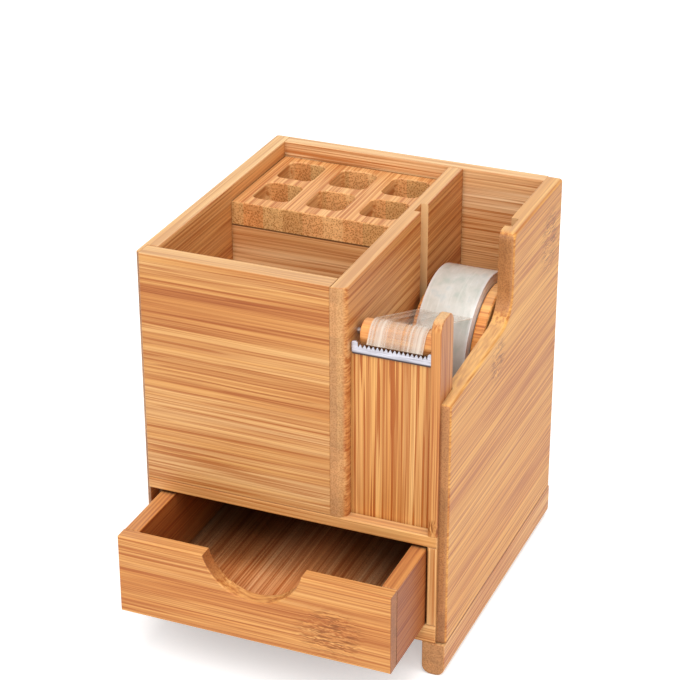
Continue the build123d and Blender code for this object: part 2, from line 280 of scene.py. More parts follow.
# dark hair lines, about one every millimetre, each some centimetres long
hair = noise(group, stretch(group, fibre_place, (17, 1050, 800), (5, 9, 2)), 1.0)
hair = add(group, "MapRange", (("Value", hair), ("From Min", 0.58), ("From Max", 0.66)))
fibre = maths(group, "SUBTRACT", fine, maths(group, "MULTIPLY", hair.outputs[0],
                                             ask["Hairs"]))

# sawn ends: darker dots, closer together towards one side of each strip
dot_place = add(group, "CombineXYZ", ((0, split.outputs["Y"]), (1, split.outputs["Z"]),
                                      (2, ask["Seed"]))).outputs[0]
cells = add(group, "TexVoronoi", (("Vector", stretch(group, dot_place, (1750, 1750, 1))),
                                  ("Scale", 1.0), ("Randomness", 0.9)))
dots = maths(group, "SUBTRACT", 0.62, cells.outputs["Distance"])

# short dark dashes in a knot
dash_noise = noise(group, stretch(group, raw, (190, 1500, 1500)), 2.0, 0.6)
dash = maths(group, "MULTIPLY", ask["Knot"],
             add(group, "MapRange", (("Value", dash_noise), ("From Min", 0.50),
                                     ("From Max", 0.58))).outputs[0])
result = group.nodes.new("NodeGroupOutput")
group.links.new(tone, result.inputs["Tone"])
group.links.new(dots, result.inputs["Dots"])
group.links.new(dash, result.inputs["Dash"])
group.links.new(strip_white, result.inputs["Strip white"])
group.links.new(fibre, result.inputs["Fibre"])
print("bamboo group:", len(group.nodes), "nodes")

# %% [markdown]
# ## A finish for each board
# A board's material turns the object's own coordinates so that X runs along that board's
# grain, asks the group for its tone, and gives the tone a colour. Natural bamboo is honey
# with amber bands. The sawn end is known by its face direction: where the normal points along
# the grain, the dots show. A knot is a soft round patch at a named place on the board.

# %% Function that makes a board's finish
HONEY = ((0.26, "#C98344"), (0.40, "#DC9C58"), (0.50, "#E7B06C"), (0.60, "#EEBC7C"),
         (0.74, "#F5CB91"))
# the honey painted lighter, a painted light for pieces that stand in shade inside the case
SHADE_LIFTED_HONEY = ((0.26, "#D8985A"), (0.40, "#E8B074"), (0.50, "#F2C188"), (0.60, "#F7CC96"),
          (0.74, "#FBD8AA"))
# a ply thicker than any board leaves the board in one ply
ONE_PLY = 500 * MM
# reaches of the painted shade in corners and under the shelf, and the depth of the fibres' bump
CORNER_SHADE_REACH, CAVE_REACH, FIBRE_DEPTH = 2.2 * MM, 45 * MM, 0.4 * MM


def knot_patch(tree, place, knots):
    """1 in the middle of each knot and 0 away from them. A knot is (along, across, long, wide)."""
    patch = None
    for u, v, long, wide in knots:
        off = stretch(tree, place, (1 / long, 1 / wide, 0), (-u / long, -v / wide, 0))
        near = add(tree, "VectorMath", ((0, off),), operation="LENGTH").outputs["Value"]
        here = add(tree, "MapRange", (("Value", near), ("From Min", 1.0), ("From Max", 0.35)),
                   interpolation_type="SMOOTHSTEP").outputs[0]
        patch = here if patch is None else maths(tree, "MAXIMUM", patch, here)
    return patch


def sawn_end(tree, grown, light, dark, strips):
    """The colour of a sawn end: dots, each ply with a tint of its own."""
    dots = add(tree, "MapRange", (("Value", grown.outputs["Dots"]), ("From Min", 0.0),
                                  ("From Max", 0.5)))
    sawn = blend(tree, dots.outputs[0], srgb(light), srgb(dark))
    tone = add(tree, "MapRange", (("Value", grown.outputs["Tone"]), ("From Min", 0.3),
                                  ("From Max", 0.7), ("To Min", 0.78), ("To Max", 1.2)))
    sawn = blend(tree, 1.0, sawn, tone.outputs[0], "MULTIPLY")
    strip_colour = ramp(tree, grown.outputs["Strip white"], (
        (0.0, "#FFF3DC"), (0.3, "#C99C70"), (0.55, "#F0C8A8"), (1.0, "#FFF8EA")))
    return blend(tree, strips, sawn, strip_colour, "MULTIPLY")


def shut_in(tree, reach, samples, dark_below, light_above, darkest, **settings):
    """A share from darkest, in a corner where light of this reach is shut out, up to 1."""
    corner = add(tree, "AmbientOcclusion", (("Distance", reach),), samples=samples)
    return add(tree, "MapRange", (("Value", corner.outputs["AO"]), ("From Min", dark_below),
                                  ("From Max", light_above), ("To Min", darkest),
                                  ("To Max", 1.0)), **settings).outputs[0]


def bamboo(name, grain, face, strip=20 * MM, ply=ONE_PLY, strip_tone=0.10, seed=0.0, stops=HONEY,
           tint="#FFFFFF", end_light="#D9A46C", end_dark="#B57F4A", end_strips=0.35,
           knots=(), shades=(), x_face_shade=None, corner_shade_tone=0.5, fibre=0.85,
           top_face_light=0.3, bands=0.6, hairs=0.17, patches=(), hollow=0.0):
    """A bamboo finish. grain is the axis along the fibres, face the one out of the board."""
    material, tree, shader = new_material(name)
    where = add(tree, "TexCoord")
    parts = add(tree, "SeparateXYZ", ((0, where.outputs["Object"]),))
    facing = add(tree, "SeparateXYZ", ((0, where.outputs["Normal"]),))
    third = ({"x", "y", "z"} - {grain, face}).pop()
    order = [parts.outputs[axis.upper()] for axis in (grain, third, face)]
    place = add(tree, "CombineXYZ", ((0, order[0]), (1, order[1]), (2, order[2]))).outputs[0]
    grown = tree.nodes.new("ShaderNodeGroup")
    grown.node_tree = group
    for socket, value in (("Seed", seed), ("Strip", strip), ("Ply", ply),
                          ("Strip tone", strip_tone), ("Bands", bands), ("Hairs", hairs)):
        grown.inputs[socket].default_value = value
    tree.links.new(place, grown.inputs["Place"])
    if knots:
        tree.links.new(knot_patch(tree, place, knots), grown.inputs["Knot"])

    # broad stripes across the board that are lighter or darker
    tone = grown.outputs["Tone"]
    for low, high, amount in shades:
        middle, reach = (low + high) / 2, (high - low) / 2
        away = maths(tree, "ABSOLUTE", maths(tree, "SUBTRACT", order[1], middle))
        inside = add(tree, "MapRange", (("Value", away), ("From Min", reach * 1.5),
                                        ("From Max", reach * 0.5)),
                     interpolation_type="SMOOTHSTEP").outputs[0]
        tone = maths(tree, "MULTIPLY_ADD", inside, amount, tone)

    # the colour along the grain: honey, then fibres, tint and the dashes of a knot
    colour = ramp(tree, tone, stops)
    line = add(tree, "MapRange", (("Value", grown.outputs["Fibre"]), ("From Min", 0.63),
                                  ("From Max", 0.32))).outputs[0]
    colour = blend(tree, maths(tree, "MULTIPLY", line, fibre), colour,
                   srgb("#BE8A56"), "MULTIPLY")
    colour = blend(tree, 1.0, colour, srgb(tint), "MULTIPLY")
    colour = blend(tree, maths(tree, "MULTIPLY", grown.outputs["Dash"], 0.92), colour,
                   srgb("#8A4A14"))

    # the sawn end shows where the normal points along the grain
    turned = maths(tree, "ABSOLUTE", facing.outputs[grain.upper()])
    end = add(tree, "MapRange", (("Value", turned), ("From Min", 0.62), ("From Max", 0.86)))
    colour = blend(tree, end.outputs[0], colour,
                   sawn_end(tree, grown, end_light, end_dark, end_strips))
    # painted shade: faces that look towards +X are multiplied by this darker colour
    if x_face_shade is not None:
        side = add(tree, "MapRange", (("Value", facing.outputs["X"]), ("From Min", 0.5),
                                      ("From Max", 0.9)))
        colour = blend(tree, side.outputs[0], colour, srgb(x_face_shade), "MULTIPLY")

    # painted light and shade: faces that look up are painted paler, where the light from above
    # falls on them, and the boards are painted a little darker in corners and where they meet,
    # where shade falls
    above = add(tree, "MapRange", (("Value", facing.outputs["Z"]), ("From Min", 0.75),
                                   ("From Max", 0.97), ("To Max", top_face_light)))
    colour = blend(tree, above.outputs[0], colour, srgb("#F2D29E"))
    colour = blend(tree, 1.0, colour, shut_in(tree, CORNER_SHADE_REACH, 4, 0.25, 0.85, corner_shade_tone),
                   "MULTIPLY")

    # under the shelf hardly any light gets in, so what is shut in on all sides is dark
    if hollow:
        cave = shut_in(tree, CAVE_REACH, 8, 0.24, 0.47, 1 - hollow,
                       interpolation_type="SMOOTHSTEP")
        colour = blend(tree, 1.0, colour, cave, "MULTIPLY")

    # named slabs of the board that are lighter or darker on the faces that look along one axis:
    # the groove's rear wall in the light colour of long grain and also as painted light in the
    # groove's shade, and a painted shadow under the plate's edge
    for axis, outward, (low, high), code, amount in patches:
        away = maths(tree, "ABSOLUTE", maths(tree, "SUBTRACT", parts.outputs[axis.upper()],
                                             (low + high) / 2))
        inside = maths(tree, "LESS_THAN", away, (high - low) / 2)
        looks = maths(tree, "ABSOLUTE", facing.outputs[outward.upper()])
        inside = maths(tree, "MULTIPLY", inside, maths(tree, "GREATER_THAN", looks, 0.7))
        colour = blend(tree, maths(tree, "MULTIPLY", inside, amount), colour, srgb(code))

    height = maths(tree, "SUBTRACT", grown.outputs["Fibre"],
                   maths(tree, "MULTIPLY", grown.outputs["Dash"], 0.12))
    bump = add(tree, "Bump", (("Height", height), ("Strength", 0.25),
                              ("Distance", FIBRE_DEPTH)))
    shader.inputs["Roughness"].default_value = 0.46
    shader.inputs["Specular IOR Level"].default_value = 0.4
    tree.links.new(colour, shader.inputs["Base Color"])
    tree.links.new(bump.outputs[0], shader.inputs["Normal"])
    return material


def finish_with(node, material):
    """Give a CAD node's slots one material."""
    slots = nodes[node].material_slots
    for slot in slots:
        slot.link = "OBJECT"
        slot.material = material


# %% [markdown]
# ## The case boards
# The maker lays the grain along the length of each board: across the front, the back and the
# shelf, front to back on the sides, and upright on the narrow pieces beside the blade. A
# different seed moves each board to another part of the same endless pattern.

# %% Case boards
TWO_PLIES = 2.75 * MM
GROOVE_WALL = (32.1 * MM, 32.4 * MM)
PLATE_SHADOW = (122.9 * MM, 124.0 * MM)
finish_with("front_panel", bamboo(
    "front_bamboo", "x", "y", strip=31 * MM, seed=0.3, strip_tone=0.06, tint="#F0E7DB",
    corner_shade_tone=0.85,
    shades=((116.5 * MM, 128.5 * MM, -0.16), (90 * MM, 101 * MM, -0.04),
            (54 * MM, 86 * MM, 0.15))))
finish_with("back_panel", bamboo("back_bamboo", "x", "y", strip=26 * MM, seed=1.7,
                                 stops=SHADE_LIFTED_HONEY, fibre=0.9))
finish_with("shelf_board", bamboo("shelf_bamboo", "x", "z", strip=24 * MM, seed=2.9,
                                  corner_shade_tone=0.85))
finish_with("base_board", bamboo("base_bamboo", "x", "z", strip=24 * MM, seed=3.4))
finish_with("partition_panel", bamboo("partition_bamboo", "x", "y", strip=30 * MM, seed=4.1,
                                      stops=SHADE_LIFTED_HONEY, fibre=0.75,
                                      patches=(("z", "y", PLATE_SHADOW, "#4A2C16", 0.85),)))
finish_with("left_side_panel", bamboo("left_bamboo", "y", "x", strip=14 * MM, strip_tone=0.34,
                                      seed=5.2, ply=TWO_PLIES, x_face_shade="#EBD2B8",
                                      end_light="#B48A66", end_dark="#8C6444"))
finish_with("divider_panel", bamboo("divider_bamboo", "y", "x", strip=40 * MM, seed=6.6, bands=0.4,
                                    patches=(("y", "y", GROOVE_WALL, "#EFC48C", 0.85),),
                                    ply=TWO_PLIES, end_light="#CF9D68", end_dark="#B27D48",
                                    x_face_shade="#F2E4DC"))
finish_with("right_side_panel", bamboo(
    "right_bamboo", "y", "x", strip=24 * MM, seed=7.3, ply=TWO_PLIES, tint="#F6E6B8",
    bands=0.34, patches=(("y", "y", GROOVE_WALL, "#EFC48C", 0.6),),
    end_light="#B57E4C", end_dark="#976238",
    knots=((59.5 * MM, 119 * MM, 12 * MM, 15 * MM), (6 * MM, 97 * MM, 9 * MM, 10 * MM))))
finish_with("tape_front_panel", bamboo("tape_panel_bamboo", "z", "y", strip=1.9 * MM,
                                       strip_tone=0.22, seed=8.4, tint="#FFFBEE",
                                       bands=0.45, hairs=0.34, fibre=1.0))
finish_with("cheek_post", bamboo("post_bamboo", "z", "y", strip=9 * MM, strip_tone=0.12,
                                 seed=9.1, x_face_shade="#EADCDE",
                                 knots=((57 * MM, 50 * MM, 4 * MM, 5 * MM),)))
finish_with("bay_liner", bamboo("liner_bamboo", "z", "y", strip=9 * MM, strip_tone=0.12,
                                seed=9.8))
for name, seed in (("runner_left", 10.5), ("runner_right", 11.2)):
    finish_with(name, bamboo(name + "_bamboo", "y", "x", strip=12 * MM, seed=seed,
                             end_light="#C08A58", end_dark="#A06C3E"))
finish_with("slot_grid", bamboo("grid_bamboo", "y", "z", strip=7.5 * MM, strip_tone=0.14,
                                bands=0.35, tint="#FBEFDC",
                                seed=12.1, stops=SHADE_LIFTED_HONEY, end_light="#FBD69E",
                                end_dark="#B87A3A", end_strips=1.0, top_face_light=0.0))

# %% [markdown]
# ## The drawer
# The drawer is made of the same board. Its bottom is a thin panel with the grain front to
# back, and it is browner inside than out because less light gets in.

# %% Drawer boards
finish_with("drawer_front", bamboo(
    "drawer_front_bamboo", "x", "y", strip=30 * MM, seed=13.3, tint="#F6E9D6", x_face_shade="#C4A890",
    top_face_light=0.1,
    knots=((27 * MM, 30 * MM, 15 * MM, 12 * MM),)))
# painted shade: the drawer sides are tinted darker, for the little light that reaches them
for name, seed in (("drawer_left_side", 14.2), ("drawer_right_side", 15.5)):
    finish_with(name, bamboo(name + "_bamboo", "y", "x", strip=16 * MM, seed=seed,
                             tint="#E4C8AC", x_face_shade="#D2BCAE", top_face_light=0.1,
                             hollow=0.6))
finish_with("drawer_back", bamboo("drawer_back_bamboo", "x", "y", strip=20 * MM, seed=16.4,
                                  hollow=0.85))
finish_with("drawer_bottom", bamboo("drawer_bottom_bamboo", "y", "z", strip=18 * MM,
                                    strip_tone=0.20, seed=17.7, stops=SHADE_LIFTED_HONEY,
                                    tint="#FFE0CE", top_face_light=0.0, hollow=0.85))

# %% [markdown]
# ## Turned wood
# The guide roller, the axle, the hub and the discs are turned from bamboo too. Their grain
# runs along the turning axis.

# %% Turned pieces
finish_with("guide_roller", bamboo("roller_bamboo", "x", "z", strip=6 * MM, seed=18.2,
                                   stops=SHADE_LIFTED_HONEY, tint="#FFE3BC", corner_shade_tone=0.8))
for name, seed in (("spool_axle", 19.1), ("spool_hub", 20.3)):
    finish_with(name, bamboo(name + "_bamboo", "x", "z", strip=10 * MM, seed=seed))
for name, seed in (("spool_disc_left", 21.4), ("spool_disc_right", 22.6)):
    finish_with(name, bamboo(name + "_bamboo", "x", "y", strip=8 * MM, seed=seed,
                             stops=SHADE_LIFTED_HONEY, tint="#FFDFA8", end_light="#E9B474",
                             end_dark="#C98F50", corner_shade_tone=1.0))


def plain(name, code, rough, metal=0.0):
    """A finish in one colour with a faint mottle, so that it isn't dead flat."""
    material, tree, shader = new_material(name)
    where = add(tree, "TexCoord")
    cloud = noise(tree, stretch(tree, where.outputs["Object"], (300, 300, 300)), 3.0, 0.6)
    shade = add(tree, "MapRange", (("Value", cloud), ("To Min", 0.9), ("To Max", 1.08)))
    colour = blend(tree, 1.0, srgb(code), shade.outputs[0], "MULTIPLY")
    shader.inputs["Roughness"].default_value = rough
    shader.inputs["Metallic"].default_value = metal
    tree.links.new(colour, shader.inputs["Base Color"])
    return material


for name in ("blade_brads", "roller_pin"):
    finish_with(name, plain(name + "_steel", "#C9C7C6", 0.32, 1.0))
finish_with("tape_core", plain("core_card", "#D8D2C6", 0.8))

# %% [markdown]
# ## Sweeps with Geometry Nodes
# A roll of tape is one flat profile turned round a circle, and the drawn-off film is one thin
# rectangle led along a path. The node Curve to Mesh does both, so one tree serves for both. It
# reads the path and the profile from two curve objects. grown_mesh runs a tree once and keeps
# an ordinary mesh, without the modifier, because that is what a finished piece should be.

# %% Tree that sweeps a profile along a path


def line_curve(name, points, closed):
    """A curve object of straight runs through the points."""
    data = bpy.data.curves.new(name, "CURVE")
    data.dimensions = "3D"
    data.twist_mode = "MINIMUM"
    run = data.splines.new("POLY")
    run.points.add(len(points) - 1)
    for spot, place in zip(run.points, points):
        spot.co = (*place, 1)
    run.use_cyclic_u = closed
    obj = bpy.data.objects.new(name, data)
    scene.collection.objects.link(obj)
    return obj


def geometry_tree(name, inputs):
    """A geometry tree with named inputs, and the sockets that hand them out."""
    tree = bpy.data.node_groups.new(name, "GeometryNodeTree")
    for socket, kind in (("Geometry", "Geometry"), *inputs, ("Finish", "Material")):
        tree.interface.new_socket(socket, in_out="INPUT", socket_type="NodeSocket" + kind)
    tree.interface.new_socket("Geometry", in_out="OUTPUT", socket_type="NodeSocketGeometry")
    return tree, tree.nodes.new("NodeGroupInput").outputs


def link_and_finish(tree, given, links, shape):
    """Make the links, then turn the shape into real faces with the given material."""
    real = tree.nodes.new("GeometryNodeRealizeInstances")
    coated = tree.nodes.new("GeometryNodeSetMaterial")
    done = tree.nodes.new("NodeGroupOutput")
    for out, into in (*links, (shape, real.inputs[0]), (real.outputs[0], coated.inputs[0]),
                      (given["Finish"], coated.inputs["Material"]),
                      (coated.outputs[0], done.inputs[0])):
        tree.links.new(out, into)


sweep, given = geometry_tree("profile_along_path", (("Path", "Object"), ("Profile", "Object")))
lead = sweep.nodes.new("GeometryNodeObjectInfo")
shape = sweep.nodes.new("GeometryNodeObjectInfo")
swept = sweep.nodes.new("GeometryNodeCurveToMesh")
swept.inputs["Fill Caps"].default_value = True
link_and_finish(sweep, given, (
    (given["Path"], lead.inputs["Object"]), (given["Profile"], shape.inputs["Object"]),
    (lead.outputs["Geometry"], swept.inputs["Curve"]),
    (shape.outputs["Geometry"], swept.inputs["Profile Curve"])), swept.outputs[0])


def grown_mesh(name, tree, inputs, base=None):
    """Run a geometry tree once and keep its result as a plain object called name."""
    holder = bpy.data.objects.new(name + "_holder", base or bpy.data.meshes.new(name + "_base"))
    scene.collection.objects.link(holder)
    modifier = holder.modifiers.new("tree", "NODES")
    modifier.node_group = tree
    for item in tree.interface.items_tree:
        if item.item_type == "SOCKET" and item.name in inputs:
            modifier[item.identifier] = inputs[item.name]
    seen = holder.evaluated_get(bpy.context.evaluated_depsgraph_get())
    mesh = bpy.data.meshes.new_from_object(seen)
    mesh.name = name
    bpy.data.objects.remove(holder)
    piece = bpy.data.objects.new(name, mesh)
    scene.collection.objects.link(piece)
    return piece


def tidy_faces(piece, angle=35):
    """Merge doubles, turn every face outwards and shade smooth up to an angle."""
    shell = bmesh.new()
    shell.from_mesh(piece.data)
    bmesh.ops.remove_doubles(shell, verts=shell.verts, dist=1e-6)
    bmesh.ops.recalc_face_normals(shell, faces=shell.faces)
    for face in shell.faces:
        face.smooth = True
    for edge in shell.edges:
        edge.smooth = len(edge.link_faces) == 2 and edge.calc_face_angle(0) < math.radians(angle)
    open_edges = sum(1 for edge in shell.edges if len(edge.link_faces) < 2)
    shared = sum(1 for edge in shell.edges if len(edge.link_faces) > 2)
    shell.to_mesh(piece.data)
    shell.free()
    print(piece.name, "has", len(piece.data.polygons), "faces,", open_edges,
          "open edges and", shared, "edges with more than two faces")


# %% [markdown]
# ## The roll of tape
# The roll is many turns of clear film. Its outside is smooth and glossy with a milky look,
# since light scatters between the turns, and its two sides show the film's edges as fine
# rings. The material finds its rings from the distance to the roll's axis, which it works out
# from the sizes of the CAD roll.

# %% Finish of the wound tape
roll_low, roll_high = (Vector(corner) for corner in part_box("tape_roll"))
core_low, core_high = (Vector(corner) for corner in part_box("tape_core"))
ROLL_X, ROLL_Y, ROLL_Z = (roll_low + roll_high) / 2
ROLL_RADIUS = (roll_high.z - roll_low.z) / 2
CORE_RADIUS = (core_high.z - core_low.z) / 2
RIM_STARTS, RIM_FULL = 8.3 * MM, 9.4 * MM
FOLD_DEPTH = 0.6 * MM


def film_white(name):
    """The milky look of many turns of clear film."""
    material, tree, shader = new_material(name)
    where = add(tree, "TexCoord").outputs["Object"]
    parts = add(tree, "SeparateXYZ", ((0, where),))
    off_y = maths(tree, "SUBTRACT", parts.outputs["Y"], ROLL_Y)
    off_z = maths(tree, "SUBTRACT", parts.outputs["Z"], ROLL_Z)
    radius = maths(tree, "SQRT", maths(tree, "ADD", maths(tree, "MULTIPLY", off_y, off_y),
                                       maths(tree, "MULTIPLY", off_z, off_z)))
    cloud = noise(tree, stretch(tree, where, (230, 170, 170)), 3.0, 0.55)
    fold = noise(tree, stretch(tree, where, (900, 90, 90), (3, 1, 4)), 2.0, 0.5)
    colour = ramp(tree, cloud, ((0.30, "#B4B8AE"), (0.45, "#C2C0B7"), (0.58, "#C9C6BE"),
                                (0.72, "#BBBFBB")))
    # painted highlight: whitish streaks of sheen along the folds
    gloss = add(tree, "MapRange", (("Value", fold), ("From Min", 0.55), ("From Max", 0.75)))
    colour = blend(tree, maths(tree, "MULTIPLY", gloss.outputs[0], 0.2), colour,
                   srgb("#F1EEE8"))
    aside = maths(tree, "ABSOLUTE", maths(tree, "SUBTRACT", parts.outputs["X"], ROLL_X))
    rim = add(tree, "MapRange", (("Value", aside), ("From Min", RIM_STARTS),
                                 ("From Max", RIM_FULL)))
    colour = blend(tree, maths(tree, "MULTIPLY", rim.outputs[0], 0.8), colour,
                   srgb("#DAD6D4"))
    ring_place = add(tree, "CombineXYZ", ((0, maths(tree, "MULTIPLY", radius, 1900.0)),))
    ring = noise(tree, ring_place.outputs[0], 2.0)
    ring_tone = add(tree, "MapRange", (("Value", ring), ("From Min", 0.3), ("From Max", 0.7),
                                       ("To Min", 0.92), ("To Max", 1.25)))
    facing = add(tree, "SeparateXYZ", ((0, add(tree, "TexCoord").outputs["Normal"]),))
    side = maths(tree, "ABSOLUTE", facing.outputs["X"])
    ringed = blend(tree, 1.0, colour, ring_tone.outputs[0], "MULTIPLY")
    colour = blend(tree, side, colour, ringed)
    shader.inputs["Roughness"].default_value = 0.22
    shader.inputs["Coat Weight"].default_value = 0.15
    shader.inputs["Coat Roughness"].default_value = 0.1
    bump = add(tree, "Bump", (("Height", fold), ("Strength", 0.15), ("Distance", FOLD_DEPTH)))
    tree.links.new(colour, shader.inputs["Base Color"])
    tree.links.new(bump.outputs[0], shader.inputs["Normal"])
    return material


# %% [markdown]
# ### The shape of the roll
# The profile runs up one side of the roll, round the outer edge and down the other side. Its
# sides rise and sink by less than a tenth of a millimetre, which is the look of the wound
# edges. Curve to Mesh leads it round a circle so small that it counts as the axis, and the
# result is then brought to the roll's exact size and place.

# %% Roll of tape
half = (roll_high.x - roll_low.x) / 2
RING_STEPS, RING_DEPTH = 48, 0.09 * MM
OUTER_ROUND, CORE_GAP = 0.3 * MM, 0.02 * MM
side_line = []
for number in range(RING_STEPS + 1):
    share = number / RING_STEPS
    radius = CORE_RADIUS + CORE_GAP + (ROLL_RADIUS - OUTER_ROUND - CORE_RADIUS) * share
    sunk = RING_DEPTH * (1 + math.sin(number * 2.4) * 0.6 + math.sin(number * 0.9) * 0.4)
    side_line.append((radius, half - sunk))
rounding = [(ROLL_RADIUS - OUTER_ROUND + OUTER_ROUND * math.sin(a),
             half - OUTER_ROUND + OUTER_ROUND * math.cos(a))
            for a in (math.radians(d) for d in (20, 45, 70, 90))]
upper = side_line + rounding
profile = [(r, x, 0) for r, x in upper] + [(r, -x, 0) for r, x in reversed(upper)]
roll_profile = line_curve("roll_profile", profile, True)
TINY, TURN_STEPS = 0.1 * MM, 180
turn = [(TINY * math.cos(a), TINY * math.sin(a), 0) for a in
        (math.tau * step / TURN_STEPS for step in range(TURN_STEPS))]
roll_path = line_curve("roll_path", turn, True)
roll = grown_mesh("wound_roll", sweep, {"Path": roll_path, "Profile": roll_profile,
                                        "Finish": film_white("wound_tape")})
scale = ROLL_RADIUS / max(v.co.x for v in roll.data.vertices)
for vertex in roll.data.vertices:
    x, y, z = vertex.co
    vertex.co = (ROLL_X + z, ROLL_Y + scale * x, ROLL_Z + scale * y)
tidy_faces(roll, 50)
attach(roll, "spool")
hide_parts("tape_roll")

# %% [markdown]
# ## The drawn-off film
# A single turn of the film is clear. It leaves the roll, lies over the guide roller and ends
# at the teeth, and where it sticks to the roller it looks whiter. The path is straight, then
# an arc round the roller, then straight again. A Principled shader with a low Alpha shows what
# is behind, and keeps the gloss of the surface.

# %% Path of the film
guide_low, guide_high = (Vector(corner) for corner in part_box("guide_roller"))
film_low, film_high = (Vector(corner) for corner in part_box("tape_film"))
GUIDE_Y, GUIDE_Z = (guide_low.y + guide_high.y) / 2, (guide_low.z + guide_high.z) / 2
FILM = 0.25 * MM
OVER_ROLLER = 0.3 * MM
STRAIGHT_STEPS, BEND_STEPS = 5, 14
bend = (guide_high.z - guide_low.z) / 2 + OVER_ROLLER + FILM / 2
start = (10.15 * MM, 108.6 * MM)
cut = (-37.2 * MM, 117.3 * MM)


def touches(place, side):
    """The angle at which a straight film from a place first touches the film's arc."""
    off_y, off_z = place[0] - GUIDE_Y, place[1] - GUIDE_Z
    turn = math.acos((bend - FILM / 2) / math.hypot(off_y, off_z))
    return (math.atan2(off_z, off_y) + side * turn) % math.tau


touch, leave = touches(start, 1), touches(cut, -1)
print("the film lies on the roller from", round(math.degrees(touch)), "to",
      round(math.degrees(leave)), "degrees")


def beyond(place, angle, distance):
    """A place (y, z) moved a distance along an angle that turns from Y to Z."""
    return place[0] + distance * math.cos(angle), place[1] + distance * math.sin(angle)


film_path = [beyond(start, touch, FILM / 2)]
first = beyond((GUIDE_Y, GUIDE_Z), touch, bend)
film_path += [tuple(a + (b - a) * t for a, b in zip(film_path[0], first))
              for t in (step / STRAIGHT_STEPS for step in range(1, STRAIGHT_STEPS))]
film_path += [beyond((GUIDE_Y, GUIDE_Z), touch + (leave - touch) * step / BEND_STEPS, bend)
              for step in range(BEND_STEPS + 1)]
film_path.append(beyond(cut, leave, FILM / 2))
lead_line = line_curve("film_path", [(0, y, z) for y, z in film_path], False)
wide = (film_high.x - film_low.x) / 2
flat = line_curve("film_profile", [(-wide, -FILM / 2, 0), (wide, -FILM / 2, 0),
                                   (wide, FILM / 2, 0), (-wide, FILM / 2, 0)], True)

# %% [markdown]
# ### The look of the film
# Alpha sets how much of the film is seen. It is low where the film hangs free, higher where
# it sticks to the roller and along its two cut edges, and it varies in long wisps, as
# stretched film does.

# %% Clear film
HANGS_TO, STICKS_FROM = -26.2 * MM, -28.5 * MM
EDGE_STARTS, EDGE_FULL = 9.0 * MM, 9.4 * MM
clear, tree, shader = new_material("clear_film")
where = add(tree, "TexCoord").outputs["Object"]
along = add(tree, "SeparateXYZ", ((0, where),))
wisp = noise(tree, stretch(tree, where, (1000, 14, 14)), 1.0, 0.5)
held = add(tree, "MapRange", (("Value", along.outputs["Y"]), ("From Min", HANGS_TO),
                              ("From Max", STICKS_FROM), ("To Min", 0.20),
                              ("To Max", 0.30)))
film_x = (film_low.x + film_high.x) / 2
aside = maths(tree, "ABSOLUTE", maths(tree, "SUBTRACT", along.outputs["X"], film_x))
edge = add(tree, "MapRange", (("Value", aside), ("From Min", EDGE_STARTS),
                              ("From Max", EDGE_FULL)))
cover = maths(tree, "MULTIPLY_ADD", maths(tree, "SUBTRACT", wisp, 0.5), 0.7, held.outputs[0])
cover = maths(tree, "MULTIPLY_ADD", edge.outputs[0], 0.3, cover)
cover = maths(tree, "MINIMUM", maths(tree, "MAXIMUM", cover, 0.06), 0.95)
tint = ramp(tree, wisp, ((0.3, "#E6CDB4"), (0.7, "#F4EBDD")))
shader.inputs["Roughness"].default_value = 0.12
tree.links.new(tint, shader.inputs["Base Color"])
tree.links.new(cover, shader.inputs["Alpha"])
film = grown_mesh("drawn_film", sweep, {"Path": lead_line, "Profile": flat,
                                        "Finish": clear})
for vertex in film.data.vertices:
    vertex.co.x += film_x
tidy_faces(film)
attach(film, "axle")
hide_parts("tape_film")
for obj in (roll_profile, roll_path, lead_line, flat):
    bpy.data.objects.remove(obj)

# %% [markdown]
# ## The toothed blade
# The blade is stamped from thin bright steel: a leg with rounded tabs at its two ends and
# sixteen teeth between them, and a flange that lies on the panel. The leg is drawn as one
# outline and given its thickness by an extrusion, and the flange is a flat bar behind it.

# %% Blade body
blade_low, blade_high = (Vector(corner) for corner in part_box("cutter_blade"))
TAB, TEETH, THICK = 2.2 * MM, 16, 0.5 * MM
ROOT_DROP, TIP_DROP = 2.2 * MM, 1.1 * MM
TAB_ROUND, TAB_CUT, TAB_LEAN = 0.9 * MM, 0.5 * MM, 0.2 * MM
LOW_CHAMFER, FLANGE_SET_BACK = 0.4 * MM, 0.1 * MM
SIX_SIDES = ((0, 1, 2, 3), (7, 6, 5, 4), (0, 4, 5, 1), (1, 5, 6, 2), (2, 6, 7, 3),
             (3, 7, 4, 0))
root_z = blade_high.z - ROOT_DROP
tip_z = blade_high.z - TIP_DROP


def tab_top(x, sign):
    """The top of a tab from its outer edge x inwards, rounded like the stamped sheet."""
    r, top = TAB_ROUND, blade_high.z
    arc = [(x + sign * (r - r * math.cos(a)), top - r + r * math.sin(a))
           for a in (math.radians(d) for d in (0, 30, 60, 90))]
    return [*arc, (x + sign * (TAB - TAB_CUT - TAB_LEAN), top),
            (x + sign * (TAB - TAB_LEAN), top - TAB_CUT), (x + sign * TAB, root_z)]


